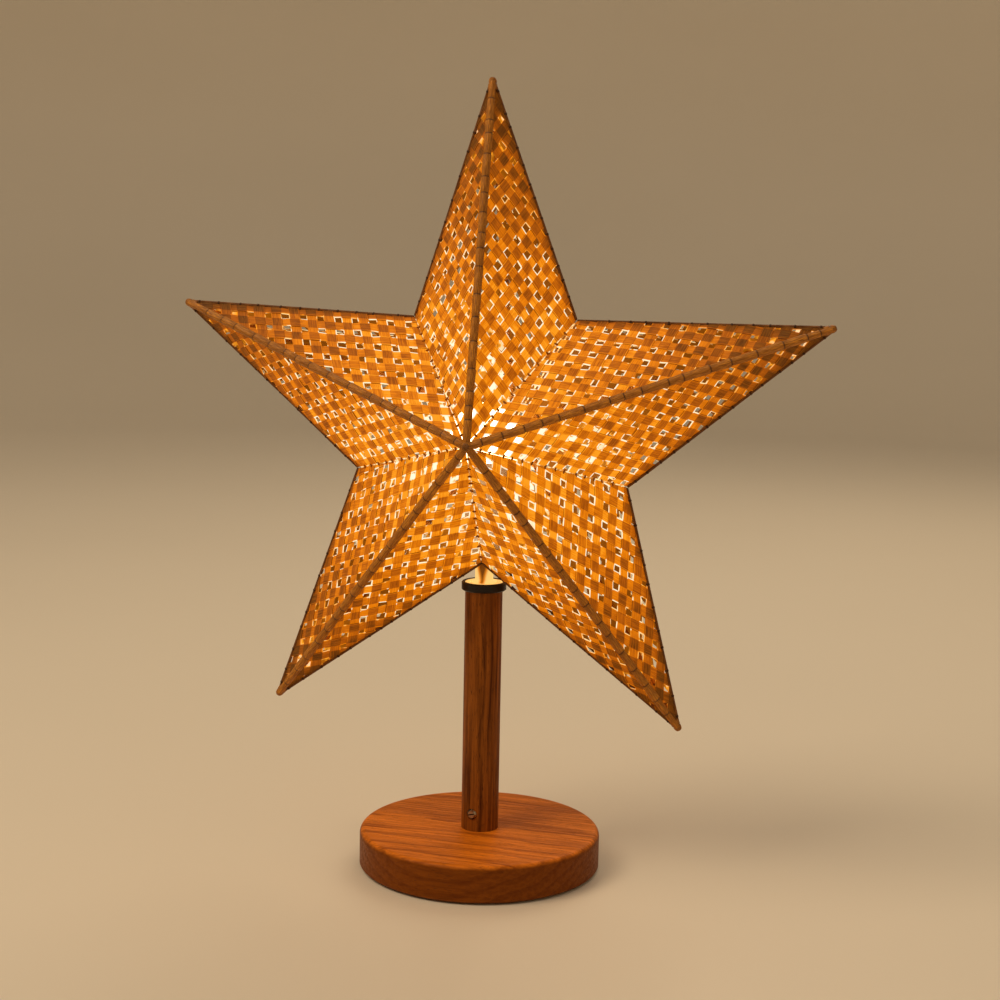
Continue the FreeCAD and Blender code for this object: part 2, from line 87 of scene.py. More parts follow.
def spread(tree, value, low, high, to_low=0.0, to_high=1.0):
    """The value carried smoothly from one range to another."""
    made = add(tree, "MapRange", {
        "Value": value, "From Min": low, "From Max": high, "To Min": to_low, "To Max": to_high,
    }, interpolation_type="SMOOTHSTEP")
    return made.outputs["Result"]


def blend(tree, share, first, second):
    """One colour turning into another as the share goes from 0 to 1."""
    made = add(tree, "Mix", {0: share, 6: first, 7: second}, data_type="RGBA")
    return made.outputs[2]


def new_material(name, **shader_values):
    """A material, its tree and its Principled shader with the constants set."""
    made = bpy.data.materials.new(name)
    made.use_nodes = True
    shader = made.node_tree.nodes["Principled BSDF"]
    for key, value in shader_values.items():
        shader.inputs[key.replace("_", " ")].default_value = value
    return made, made.node_tree, shader


def put(tree, source, shader, socket):
    tree.links.new(source, shader.inputs[socket])


def bump(tree, shader, height, depth):
    """Relief on the shader from a height that goes from 0 to 1, with its depth in metres."""
    made = add(tree, "Bump", {"Height": height, "Distance": depth, "Strength": 1.0})
    put(tree, made.outputs["Normal"], shader, "Normal")


def new_piece(name, mesh_maker, *materials):
    """An object at the origin from a bmesh, with its place in its mesh."""
    mesh = bpy.data.meshes.new(name)
    mesh_maker.to_mesh(mesh)
    mesh_maker.free()
    piece = bpy.data.objects.new(name, mesh)
    bpy.context.scene.collection.objects.link(piece)
    for material in materials:
        mesh.materials.append(material)
    return piece


table_paint, tree, shader = new_material("table_paint", Roughness=0.55)
speckle = add(tree, "TexNoise", {"Scale": 9.0, "Detail": 4.0})
tone = blend(tree, speckle.outputs["Fac"], (0.8, 0.71, 0.57, 1), (0.85, 0.76, 0.62, 1))
put(tree, tone, shader, "Base Color")
flat_reach = 2.6
sweep_radius = 0.9
wall_height = 2.6
sweep = bmesh.new()
profile = [sweep.verts.new((0.001, 0, 0)), sweep.verts.new((flat_reach, 0, 0))]
for step in range(1, 9):
    turn = math.radians(90 * step / 8)
    profile.append(sweep.verts.new((flat_reach + sweep_radius * math.sin(turn), 0,
                                    sweep_radius * (1 - math.cos(turn)))))
profile.append(sweep.verts.new((flat_reach + sweep_radius, 0, wall_height)))
edges = [sweep.edges.new(pair) for pair in zip(profile, profile[1:])]
bmesh.ops.spin(sweep, geom=profile + edges, cent=(0, 0, 0), axis=(0, 0, 1), angle=math.tau,
               steps=64, use_merge=True)
bmesh.ops.recalc_face_normals(sweep, faces=sweep.faces)
bmesh.ops.reverse_faces(sweep, faces=sweep.faces)
for face in sweep.faces:
    face.smooth = True
table = new_piece("table", sweep, table_paint)

sky = bpy.data.worlds.new("sky")
sky.use_nodes = True
sky.node_tree.nodes["Background"].inputs["Color"].default_value = (0.95, 0.84, 0.7, 1)
sky.node_tree.nodes["Background"].inputs["Strength"].default_value = 0.32
bpy.context.scene.world = sky
bpy.context.scene.view_settings.view_transform = "Standard"


def soft_light(name, place, width, watts, tint):
    """A square lamp that faces a point on the lamp's stem, just under the star."""
    lamp = bpy.data.lights.new(name, "AREA")
    lamp.size = width
    lamp.energy = watts
    lamp.color = tint
    holder = bpy.data.objects.new(name, lamp)
    bpy.context.scene.collection.objects.link(holder)
    aim = Vector((0, 0, 0.22)) - Vector(place)
    facing = aim.to_track_quat("-Z", "Y").to_matrix().to_4x4()
    holder.matrix_world = Matrix.Translation(place) @ facing


soft_light("key_light", (-1.0, -0.7, 1.7), 1.0, 17.0, (1.0, 0.8, 0.56))
soft_light("fill_light", (1.5, -0.6, 0.9), 1.4, 2.0, (1.0, 0.74, 0.46))
soft_light("back_light", (0.3, 1.4, 1.4), 1.2, 7.0, (1.0, 0.8, 0.56))

# ---- Woven mats ------------------------------------------------------------------------
# Each of the star's twenty faces is a flat mat of split palm strips, woven over one and under
# one with small square gaps, cut to a triangle and held by the ribs, rim rods and seams.

ARMS = ("top", "right", "low_right", "low_left", "left")
WAYS = {"front": -1, "back": 1}
HANDS = ("cw", "ccw")
# How each mat was cut from its sheet: the two strip directions from the rib, in degrees.
LAYS = {
    ("top", "cw"): (47, -33),
    ("top", "ccw"): (44, -43),
    ("right", "cw"): (46, -39),
    ("right", "ccw"): (35, -46),
    ("low_right", "cw"): (55, -20),
    ("low_right", "ccw"): (46, -25),
    ("low_left", "cw"): (45, -31),
    ("low_left", "ccw"): (52, -24),
    ("left", "cw"): (27, -43),
    ("left", "ccw"): (51, -41),
}
strip_pitch = 0.0104
strip_width = 0.0066
strip_thickness = 0.00042
strip_swing = 0.00034
# How far each edge of a mat stays inside the middle line of what holds it, and how far from the
# star's tip the mat is cut off.
mat_insets = {"rib": 0.0006, "rim": 0.0003, "seam": 0.0006, "tip": 0.0035}


def spots_of(node):
    """A CAD node's separate corners."""
    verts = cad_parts[node].data.vertices
    return [Vector(s) for s in {tuple(round(c, 6) for c in v.co) for v in verts}]


def middle(points):
    return sum(points, Vector()) / len(points)


def rod_ends(node):
    """The middles of a straight rod's two end faces."""
    spots = spots_of(node)
    centre = middle(spots)
    far = max(spots, key=lambda s: (s - centre).length) - centre
    return [middle([s for s in spots if (s - centre).dot(far) * way > 0]) for way in (1, -1)]


def meeting(first, first_way, second, second_way):
    """Where two lines meet."""
    return middle(intersect_line_line(first, first + first_way, second, second + second_way))


knot_low, knot_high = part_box("hub_knots")
knot_radius = (knot_high.x - knot_low.x) / 2
star_middle = (knot_low + knot_high) / 2
hub_depths = {"front": knot_low.y + knot_radius, "back": knot_high.y - knot_radius}
hubs = {side: Vector((star_middle.x, depth, star_middle.z)) for side, depth in hub_depths.items()}
tips = {}
for arm in ARMS:
    end, start = rod_ends(f"front_rib_{arm}")
    tips[arm] = end + (start - end) * (end.y / (end.y - start.y))


def corner_of(side, arm, hand):
    """The inner corner of a face, from the slant of the CAD plate's rim and seam edges."""
    tip, hub = tips[arm], hubs[side]
    ridge = (hub - tip).normalized()
    spots = spots_of(f"{side}_panel_{arm}_{hand}")
    mates = [min((o for o in spots if o != s), key=lambda o: (o - s).length) for s in spots]
    pairs = [(s + mate) / 2 for s, mate in zip(spots, mates)]
    height = {tuple(p): ((p - tip) - ridge * (p - tip).dot(ridge)).length for p in pairs}
    inner = max(pairs, key=lambda p: height[tuple(p)])
    near_hub = min(pairs, key=lambda p: (p - hub).length)
    near_tip = [p for p in pairs
                if (p - tip).length < (p - hub).length and (p - inner).length > strip_width]
    rim_end = max(near_tip, key=lambda p: height[tuple(p)])
    return meeting(tip, inner - rim_end, hub, inner - near_hub)


corners = {(side, arm, hand): corner_of(side, arm, hand)
           for side in WAYS for arm in ARMS for hand in HANDS}

# The marks that every strip shows. In its UV map X counts the strips that cross it and Y is its
# own number, and a whole number is the middle of a strip. The marks are where two strips lie on
# each other, the edges beside a gap, a painted shadow line along the edges of a crossing, and the
# fibres along the strip.
strip_marks = bpy.data.node_groups.new("strip_marks", "ShaderNodeTree")
for name in ("Doubled", "Beside Gap", "Crossing Shadow", "Fibre", "Patch", "Cell"):
    strip_marks.interface.new_socket(name, in_out="OUTPUT", socket_type="NodeSocketFloat")
marks_out = strip_marks.nodes.new("NodeGroupOutput")
place = add(strip_marks, "UVMap")
parts = add(strip_marks, "SeparateXYZ", {"Vector": place.outputs["UV"]})
half = strip_width / strip_pitch / 2
from_crossing = calc(strip_marks, "PINGPONG", parts.outputs["X"], 0.5)
from_middle = calc(strip_marks, "PINGPONG", parts.outputs["Y"], 0.5)
thin_edge = half - 0.05
in_crossing = spread(strip_marks, from_crossing, thin_edge - 0.02, thin_edge + 0.02, 1.0, 0.0)
in_own = spread(strip_marks, from_middle, thin_edge - 0.02, thin_edge + 0.01, 1.0, 0.0)
doubled = calc(strip_marks, "MULTIPLY", in_crossing, in_own)
beside = calc(strip_marks, "MULTIPLY", calc(strip_marks, "SUBTRACT", 1.0, in_crossing),
              calc(strip_marks, "SUBTRACT", 1.0, in_own))
# Painted shadow: thin dark lines along the edges where one strip crosses another.
past_overlap = calc(strip_marks, "SUBTRACT", from_crossing, thin_edge + 0.01)
from_overlap = calc(strip_marks, "ABSOLUTE", past_overlap)
at_overlap = spread(strip_marks, from_overlap, 0.005, 0.03, 1.0, 0.0)
crossing_shadow_line = calc(strip_marks, "MULTIPLY", at_overlap, in_own)
at_own_edge = spread(strip_marks, from_middle, half - 0.03, half - 0.005)
own_edge_shadow = calc(strip_marks, "MULTIPLY", at_own_edge, in_crossing)
shadow_lines = calc(strip_marks, "MAXIMUM", crossing_shadow_line, own_edge_shadow)
along = add(strip_marks, "CombineXYZ", {
    "X": calc(strip_marks, "MULTIPLY", parts.outputs["X"], 0.9),
    "Y": calc(strip_marks, "MULTIPLY", parts.outputs["Y"], 21.0),
})
fibres = add(strip_marks, "TexNoise", {
    "Vector": along.outputs["Vector"], "Scale": 1.0, "Detail": 4.0, "Roughness": 0.62,
    "Distortion": 0.35,
}, noise_dimensions="2D")
patches = add(strip_marks, "TexNoise", {
    "Vector": place.outputs["UV"], "Scale": 1.15, "Detail": 2.0,
}, noise_dimensions="2D")
cell = add(strip_marks, "CombineXYZ", {
    "X": calc(strip_marks, "ROUND", calc(strip_marks, "MULTIPLY", parts.outputs["X"], 2.0)),
    "Y": calc(strip_marks, "ROUND", parts.outputs["Y"]),
})
cell_luck = add(strip_marks, "TexWhiteNoise", {"Vector": cell.outputs["Vector"]},
                noise_dimensions="2D")
for name, source in (("Doubled", doubled), ("Beside Gap", beside), ("Crossing Shadow", shadow_lines),
                     ("Fibre", spread(strip_marks, fibres.outputs["Fac"], 0.3, 0.7)),
                     ("Patch", spread(strip_marks, patches.outputs["Fac"], 0.3, 0.7)),
                     ("Cell", cell_luck.outputs["Value"])):
    strip_marks.links.new(source, marks_out.inputs[name])

# How strongly the bulb reaches a spot: 1 nearer the bulb than Near, and 0 beyond Far. With Near
# the larger, it is the other way round.
bulb_low, bulb_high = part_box("bulb_globe")
bulb_middle = Vector((0, 0, bulb_high.z - (bulb_high.x - bulb_low.x) / 2))
bulb_reach = bpy.data.node_groups.new("bulb_reach", "ShaderNodeTree")
for name in ("Near", "Far"):
    bulb_reach.interface.new_socket(name, in_out="INPUT", socket_type="NodeSocketFloat")
bulb_reach.interface.new_socket("Reach", in_out="OUTPUT", socket_type="NodeSocketFloat")
reach_in = bulb_reach.nodes.new("NodeGroupInput")
reach_out = bulb_reach.nodes.new("NodeGroupOutput")
spot = add(bulb_reach, "TexCoord")
away = add(bulb_reach, "VectorMath", {0: spot.outputs["Object"], 1: bulb_middle},
           operation="DISTANCE")
reach = add(bulb_reach, "MapRange", {
    "Value": away.outputs["Value"], "From Min": reach_in.outputs["Near"],
    "From Max": reach_in.outputs["Far"], "To Min": 1.0, "To Max": 0.0,
}, interpolation_type="SMOOTHSTEP")
bulb_reach.links.new(reach.outputs["Result"], reach_out.inputs["Reach"])


def use(tree, group, inputs=None):
    """The group's node, placed in a material."""
    made = add(tree, "Group", node_tree=group)
    for key, value in (inputs or {}).items():
        made.inputs[key].default_value = value
    return made.outputs


def glow_ramp(tree, level, stops):
    """Colours laid along a level from 0 to 1."""
    made = add(tree, "ValToRGB", {"Fac": level})
    elements = made.color_ramp.elements
    elements.remove(elements[1])
    elements[0].position, elements[0].color = stops[0][0], (*stops[0][1], 1)
    for position, colour in stops[1:]:
        elements.new(position).color = (*colour, 1)
    return made.outputs["Color"]


# Outside, a strip glows with painted light: an emission glow stands in for the bulb's light that
# comes through it. Doubled strips are darker, the edges beside a gap are brightest, and the glow
# fades towards the tips and beside the rim rods, where painted shade lies along the rod.
strip_outside, tree, shader = new_material("strip_outside", Roughness=0.6, Emission_Strength=1.0,
                                            Specular_IOR_Level=0.2)
mark = use(tree, strip_marks)
lit = use(tree, bulb_reach, {"Near": 0.05, "Far": 0.245})["Reach"]
fibre_tone = blend(tree, mark["Fibre"], (0.05, 0.017, 0.001, 1), (0.16, 0.07, 0.006, 1))
# Painted shadow lines darken the colour along the edges of each crossing.
put(tree, blend(tree, mark["Crossing Shadow"], fibre_tone, (0.03, 0.01, 0.001, 1)), shader, "Base Color")
doubled_dims = calc(tree, "MULTIPLY_ADD", lit, 0.16, -0.37)
through = calc(tree, "MULTIPLY_ADD", mark["Doubled"], doubled_dims, 0.775)
through = calc(tree, "MULTIPLY_ADD", calc(tree, "SUBTRACT", mark["Fibre"], 0.5), 0.16, through)
through = calc(tree, "MULTIPLY_ADD", calc(tree, "SUBTRACT", mark["Patch"], 0.5), 0.1, through)
through = calc(tree, "MULTIPLY_ADD", calc(tree, "SUBTRACT", mark["Cell"], 0.5), 0.17, through)
through = calc(tree, "MULTIPLY_ADD", mark["Crossing Shadow"], -0.12, through)
level = calc(tree, "MULTIPLY", through, calc(tree, "MULTIPLY_ADD", lit, 0.63, 0.43))
level = calc(tree, "MINIMUM", level, 0.86)
rim_glow = calc(tree, "MULTIPLY", mark["Beside Gap"],
                spread(tree, mark["Patch"], 0.25, 0.6, 0.0, 0.42))
level = calc(tree, "MULTIPLY_ADD", rim_glow, calc(tree, "MULTIPLY_ADD", lit, 0.5, 0.5), level)
before_tip = use(tree, bulb_reach, {"Near": 0.165, "Far": 0.215})["Reach"]
level = calc(tree, "MULTIPLY", level, calc(tree, "MULTIPLY_ADD", before_tip, 0.36, 0.64))
# Painted shade along the rim rod dims the glow.
painted_rim_shade = add(tree, "Attribute", attribute_name="painted_rim_shade").outputs["Fac"]
level = calc(tree, "MULTIPLY", level, calc(tree, "MULTIPLY_ADD", painted_rim_shade, -0.42, 1.0))
OUTSIDE_GLOW = (
    (0.0, (0.01, 0.002, 0.0)),
    (0.25, (0.1, 0.022, 0.0)),
    (0.5, (0.38, 0.075, 0.0)),
    (0.75, (0.81, 0.2, 0.0)),
    (0.86, (0.96, 0.33, 0.01)),
    (0.94, (1.0, 0.62, 0.2)),
    (1.0, (1.0, 0.9, 0.66)),
)
put(tree, glow_ramp(tree, level, OUTSIDE_GLOW), shader, "Emission Color")
bump(tree, shader, mark["Fibre"], 0.00012)

# Inside, a strip shows the bulb's light as a painted glow, near the bulb and again deep in the
# arms.
strip_inside, tree, shader = new_material("strip_inside", Roughness=0.7, Emission_Strength=1.2,
                                           Specular_IOR_Level=0.2)
mark = use(tree, strip_marks)
lit = use(tree, bulb_reach, {"Near": 0.035, "Far": 0.125})["Reach"]
in_arm_end = use(tree, bulb_reach, {"Near": 0.19, "Far": 0.14})["Reach"]
facing = add(tree, "Attribute", attribute_name="painted_bulb_share").outputs["Fac"]
put(tree, blend(tree, mark["Fibre"], (0.05, 0.015, 0.001, 1), (0.12, 0.04, 0.003, 1)),
    shader, "Base Color")
lit = calc(tree, "MAXIMUM", calc(tree, "MULTIPLY", lit, facing),
           calc(tree, "MULTIPLY", in_arm_end, 0.6))
level = calc(tree, "MULTIPLY", lit, spread(tree, mark["Patch"], 0.2, 0.8, 0.55, 1.2))
INSIDE_GLOW = (
    (0.0, (0.15, 0.04, 0.001)),
    (0.3, (0.3, 0.085, 0.002)),
    (0.6, (0.9, 0.34, 0.02)),
    (0.85, (1.0, 0.85, 0.6)),
)
put(tree, glow_ramp(tree, level, INSIDE_GLOW), shader, "Emission Color")

# The split edges glow with painted light where they stand beside a gap.
strip_cut_edge, tree, shader = new_material("strip_cut_edge", Base_Color=(0.16, 0.07, 0.008, 1),
                                            Roughness=0.6, Emission_Strength=1.2)
mark = use(tree, strip_marks)
lit = use(tree, bulb_reach, {"Near": 0.05, "Far": 0.27})["Reach"]
level = calc(tree, "MULTIPLY", calc(tree, "MULTIPLY", mark["Beside Gap"], mark["Patch"]),
             calc(tree, "MULTIPLY_ADD", lit, 0.6, 0.4))
EDGE_GLOW = (
    (0.0, (0.02, 0.006, 0.001)),
    (0.4, (0.7, 0.24, 0.02)),
    (0.8, (1.0, 0.78, 0.38)),
    (1.0, (1.0, 0.9, 0.6)),
)
put(tree, glow_ramp(tree, level, EDGE_GLOW), shader, "Emission Color")
for material in (strip_outside, strip_inside, strip_cut_edge):
    material.cycles.emission_sampling = "NONE"


# A strip is bent this finely. The numbers of one set of strips start this far past the last set's.
bends_per_pitch = 7
number_step = 30


def lay_strips(mat, outline, number, way, other_way, twist, luck):
    """One set of parallel strips, each waved over and under the strips of the other set, and cut
    to the outline."""
    pitch_across = Vector((-way.y, way.x, 0)) / strip_pitch
    pitch_along = Vector((-other_way.y, other_way.x, 0)) / strip_pitch
    places = [p.dot(pitch_across) for p in outline]
    reaches = [p.dot(way) for p in outline]
    length = max(reaches) - min(reaches)
    for i in range(math.floor(min(places)), math.ceil(max(places)) + 1):
        strip = bmesh.new()
        bmesh.ops.create_grid(strip, x_segments=round(length / strip_pitch * bends_per_pitch),
                              y_segments=2, size=0.5)
        width = strip_width * luck.uniform(0.94, 1.05)
        bmesh.ops.scale(strip, vec=(length, width, 1), verts=strip.verts)
        drift = luck.uniform(-0.05, 0.05)
        lean = luck.uniform(-0.006, 0.006)
        sway = [(luck.uniform(60, 160), luck.uniform(0, 6), luck.uniform(0.0001, 0.00027))
                for _ in range(3)]
        halfway = (max(reaches) + min(reaches)) / 2
        base = way * halfway + pitch_across * (i + drift) * strip_pitch ** 2
        turn = Matrix.Translation(base) @ Matrix.Rotation(math.atan2(way.y, way.x) + lean, 4, "Z")
        layer = strip.loops.layers.uv.new("UVMap")
        own = {v: v.co.y / strip_pitch for v in strip.verts}
        for v in strip.verts:
            one, other, both = (size * math.sin(v.co.x * rate + start)
                                for rate, start, size in sway)
            v.co.y += both + (one if v.co.y > 0 else other)
        bmesh.ops.transform(strip, matrix=turn, verts=strip.verts)
        for v in strip.verts:
            crossing = v.co.dot(pitch_along)
            v.co.z = twist * strip_swing * math.cos(math.pi * (crossing + i))
        for face in strip.faces:
            for loop in face.loops:
                loop[layer].uv = (loop.vert.co.dot(pitch_along),
                                  i + own[loop.vert] + number_step * number)
        for a, b in zip(outline, outline[1:] + outline[:1]):
            outward = Vector(((b - a).y, -(b - a).x, 0))
            bmesh.ops.bisect_plane(strip, geom=strip.verts[:] + strip.edges[:] + strip.faces[:],
                                   plane_co=a, plane_no=outward, clear_outer=True)
        scrap = bpy.data.meshes.new("strip")
        strip.to_mesh(scrap)
        strip.free()
        mat.from_mesh(scrap)
        bpy.data.meshes.remove(scrap)


def flat_outline(length, inner):
    """The mat's cut corners in its own plane, with the rib along +X from the tip at the origin."""
    lines = []
    for a, b, inset in ((Vector((0, 0, 0)), Vector((length, 0, 0)), mat_insets["rib"]),
                        (Vector((length, 0, 0)), inner, mat_insets["seam"]),
                        (inner, Vector((0, 0, 0)), mat_insets["rim"])):
        way = (b - a).normalized()
        lines.append((a + Vector((-way.y, way.x, 0)) * inset, way))
    tip_cut = (Vector((mat_insets["tip"], 0, 0)), Vector((0, -1, 0)))
    order = [tip_cut, lines[0], lines[1], lines[2], tip_cut]
    return [meeting(*order[i], *order[i + 1]) for i in range(4)]


# The mats whose inside the bulb lights squarely get the full painted glow inside. The others are
# turned away from it and get a share. Every mat also gets painted shade along its rim rod.
WELL_LIT = (("top", "ccw"), ("right", "cw"), ("low_right", "cw"), ("low_left", "cw"),
            ("low_left", "ccw"), ("left", "ccw"))
dim_share = 0.3
rim_shade_width = 0.009
number = 0
face_normals = {}
for side in WAYS:
    for arm in ARMS:
        for hand in HANDS:
            tip, hub, inner = tips[arm], hubs[side], corners[side, arm, hand]
            ridge = (hub - tip).normalized()
            rise = (inner - tip) - ridge * (inner - tip).dot(ridge)
            flat_inner = Vector(((inner - tip).dot(ridge), rise.length, 0))
            rise.normalize()
            outward = ridge.cross(rise)
            if outward.dot(hub - star_middle) < 0:
                outward.negate()
            face_normals[side, arm, hand] = outward
            outline = flat_outline((hub - tip).length, flat_inner)
            luck = random.Random(f"{side} {arm} {hand}")
            lays = [Vector((math.cos(math.radians(a)), math.sin(math.radians(a)), 0))
                    for a in LAYS[arm, hand]]
            cut_from = Vector((luck.random(), luck.random(), 0)) * strip_pitch
            outline = [corner + cut_from for corner in outline]
            mat = bmesh.new()
            mat.loops.layers.uv.new("UVMap")
            for twist, (first, second) in ((1, lays), (-1, lays[::-1])):
                number += 1
                lay_strips(mat, outline, number, first, second, twist, luck)
            stand_up = Matrix((ridge, rise, outward)).transposed().to_4x4()
            bmesh.ops.translate(mat, vec=-cut_from, verts=mat.verts)
            bmesh.ops.transform(mat, matrix=Matrix.Translation(tip) @ stand_up, verts=mat.verts)
            if stand_up.determinant() < 0:
                bmesh.ops.reverse_faces(mat, faces=mat.faces)
            piece = new_piece(f"{side}_mat_{arm}_{hand}", mat,
                              strip_outside, strip_inside, strip_cut_edge)
            facing = piece.data.attributes.new("painted_bulb_share", "FLOAT", "POINT")
            share = 1.0 if (arm, hand) in WELL_LIT else dim_share
            facing.data.foreach_set("value", [share] * len(piece.data.vertices))
            painted_rim_shade = piece.data.attributes.new("painted_rim_shade", "FLOAT", "POINT")
            rim_way = (inner - tip).normalized()
            from_tip = [v.co - tip for v in piece.data.vertices]
            gaps = [(spot - rim_way * spot.dot(rim_way)).length for spot in from_tip]
            shades = [max(0.0, 1 - gap / rim_shade_width) ** 2 for gap in gaps]
            painted_rim_shade.data.foreach_set("value", shades)
            wall = piece.modifiers.new("thickness", "SOLIDIFY")
            wall.thickness = strip_thickness
            wall.offset = 0
            wall.material_offset = 1
            wall.material_offset_rim = 2
            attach(piece, "shade")
            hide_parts(f"{side}_panel_{arm}_{hand}")

# ---- Cane ribs -------------------------------------------------------------------------
# A rib is a split cane bound end to end with flat cane, each turn tucked under the next, so its
# outline steps in at every turn. Ten ribs run from the tips to the two hubs.

binding_marks = bpy.data.node_groups.new("binding_marks", "ShaderNodeTree")
for name in ("Fibre", "Groove", "Patch"):
    binding_marks.interface.new_socket(name, in_out="OUTPUT", socket_type="NodeSocketFloat")
marks_out = binding_marks.nodes.new("NodeGroupOutput")
place = add(binding_marks, "UVMap")
slant = add(binding_marks, "Mapping", {"Vector": place.outputs["UV"], "Scale": (7.0, 0.09, 1.0)})
fibres = add(binding_marks, "TexNoise",
             {"Vector": slant.outputs["Vector"], "Scale": 2.0, "Detail": 4.0},
             noise_dimensions="2D")
broad = add(binding_marks, "Mapping", {"Vector": place.outputs["UV"], "Scale": (0.8, 0.05, 1.0)})
patches = add(binding_marks, "TexNoise",
              {"Vector": broad.outputs["Vector"], "Scale": 2.0, "Detail": 1.0},
              noise_dimensions="2D")
grooves = add(binding_marks, "Attribute", attribute_name="groove")
for name, source in (("Fibre", spread(binding_marks, fibres.outputs["Fac"], 0.3, 0.7)),
                     ("Patch", spread(binding_marks, patches.outputs["Fac"], 0.3, 0.7)),
                     ("Groove", grooves.outputs["Fac"])):
    binding_marks.links.new(source, marks_out.inputs[name])


def binding_material(name, dark, light, groove, roughness):
    """Bound cane: fibres along it, tone that drifts from turn to turn, and dark grooves."""
    made, tree, shader = new_material(name, Roughness=roughness, Specular_IOR_Level=0.3)
    mark = use(tree, binding_marks)
    tone = blend(tree, mark["Fibre"], dark, light)
    tone = blend(tree, calc(tree, "MULTIPLY", mark["Patch"], 0.45), tone, dark)
    put(tree, blend(tree, mark["Groove"], tone, groove), shader, "Base Color")
    bump(tree, shader, mark["Fibre"], 0.00015)
    return made


cane = binding_material("cane", (0.33, 0.11, 0.007, 1), (0.7, 0.27, 0.022, 1),
                        (0.06, 0.018, 0.002, 1), 0.45)


def drawn_rod(bm, uv, groove, rings, sides, start, end, luck, outward=None, pinch=0.0):
    """A rod drawn out ring by ring from one point towards another. A ring is its distance along
    the rod, its radius and how dark it is. The rod's outward half can be pinched to a ridge."""
    way = (end - start).normalized()
    if outward is None:
        outward = way.orthogonal()
    aside = outward.cross(way).normalized()
    axes = Matrix((aside, way.cross(aside), way)).transposed()
    stand = Matrix.Translation(start) @ axes.to_4x4()
    made = bmesh.ops.create_circle(bm, cap_ends=True, segments=sides, radius=rings[0][1])
    verts = made["verts"]
    everything = list(verts)
    edges = list({e for v in verts for e in v.link_edges})
    heights = {v: rings[0][0] for v in verts}
    for v in verts:
        v[groove] = rings[0][2]
    for before, ring in zip(rings, rings[1:]):
        pulled = bmesh.ops.extrude_edge_only(bm, edges=edges)["geom"]
        verts = [g for g in pulled if isinstance(g, bmesh.types.BMVert)]
        edges = [g for g in pulled if isinstance(g, bmesh.types.BMEdge)]
        centre = middle([v.co for v in verts])
        grow = ring[1] / before[1]
        bmesh.ops.scale(bm, vec=(grow, grow, 1), verts=verts, space=Matrix.Translation(-centre))
        shift = Vector((luck.uniform(-1, 1), luck.uniform(-1, 1), 0)) * 0.00004
        bmesh.ops.translate(bm, vec=shift, verts=verts)
        for v in verts:
            v[groove] = ring[2]
            heights[v] = ring[0]
        everything += verts
    bmesh.ops.edgeloop_fill(bm, edges=edges)
    for v in everything:
        v.co.z = heights[v]
        away = max(0.0, v.co.y / v.co.xy.length)
        v.co.x *= 1 - pinch * away * away
    for face in {f for v in everything for f in v.link_faces}:
        for loop in face.loops:
            spot = loop.vert.co
            loop[uv].uv = (abs(math.atan2(spot.y, spot.x)) / math.pi, spot.z * 1000)
    bmesh.ops.transform(bm, matrix=stand, verts=everything)


def cane_rings(length, radius, luck):
    """Turns of flat cane of uneven width, each a little thicker where it covers the one before."""
    rings = [(0.0, radius * 0.9, 1.0)]
    at = 0.0
    while at < length:
        turn = min(luck.uniform(0.008, 0.017), length - at)
        if length - at - turn < 0.005:
            turn = length - at
        swell = radius * luck.uniform(0.97, 1.05)
        rings += [
            (at + 0.0003, swell * 1.05, 0.5),
            (at + 0.001, swell * 1.06, 0.0),
            (at + turn * 0.5, swell, 0.0),
            (at + turn - 0.0007, swell * 0.95, 0.15),
            (at + turn, swell * 0.85, 1.0),
        ]
        at += turn
    return rings


def rod_mesh():
    """A bmesh with the UV map and the groove value that a bound rod needs."""
    bm = bmesh.new()
    return bm, bm.loops.layers.uv.new("UVMap"), bm.verts.layers.float.new("groove")


def finish_rods(name, bm, material, slot, *nodes):
    """The rods as one smooth piece of the shade, in place of any CAD nodes that are named."""
    bmesh.ops.recalc_face_normals(bm, faces=bm.faces)
    for face in bm.faces:
        face.smooth = True
    piece = new_piece(name, bm, material)
    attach(piece, "shade")
    if nodes:
        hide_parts(*nodes)


rib_radius = 0.0025
rib_pinch = 0.45
for side in WAYS:
    for arm in ARMS:
        luck = random.Random(f"rib {side} {arm}")
        bm, uv, groove = rod_mesh()
        way = (hubs[side] - tips[arm]).normalized()
        start = tips[arm] + way * 0.0022
        end = hubs[side] - way * 0.0015
        rings = cane_rings((end - start).length, rib_radius, luck)
        # A rib is thinner over its first 25 mm from the tip.
        rings = [(at, radius * min(1.0, 0.72 + at / 0.09), dark) for at, radius, dark in rings]
        outward = Vector((0, WAYS[side], 0))
        drawn_rod(bm, uv, groove, rings, 16, start, end, luck, outward, rib_pinch)
        finish_rods(f"{side}_cane_{arm}", bm, cane, "cane", f"{side}_rib_{arm}")

# ---- Rim rods --------------------------------------------------------------------------
# A thin dark rod runs along the outer edge of every mat, and a thread stitches both mats to it
# about every twelve millimetres. At the mouth the front and back mats have a rod each.

dark_binding = binding_material("dark_binding", (0.13, 0.042, 0.005, 1), (0.36, 0.13, 0.016, 1),
                                (0.04, 0.012, 0.002, 1), 0.55)
rim_radius = 0.00095


def stitched_rings(length, radius, luck):
    """A plain rod with a doubled thread round it at every stitch."""
    rings = [(0.0, radius * 0.8, 1.0), (0.0006, radius, 0.2)]
    at = 0.006
    while at < length - 0.004:
        rings += [
            (at - 0.0007, radius, 0.2),
            (at - 0.0005, radius * 1.2, 1.0),
            (at, radius * 1.24, 0.8),
            (at + 0.0005, radius * 1.2, 1.0),
            (at + 0.0007, radius, 0.2),
        ]
        at += luck.uniform(0.008, 0.016)
    rings += [(length - 0.0005, radius, 0.2), (length, radius * 0.8, 1.0)]
    return rings


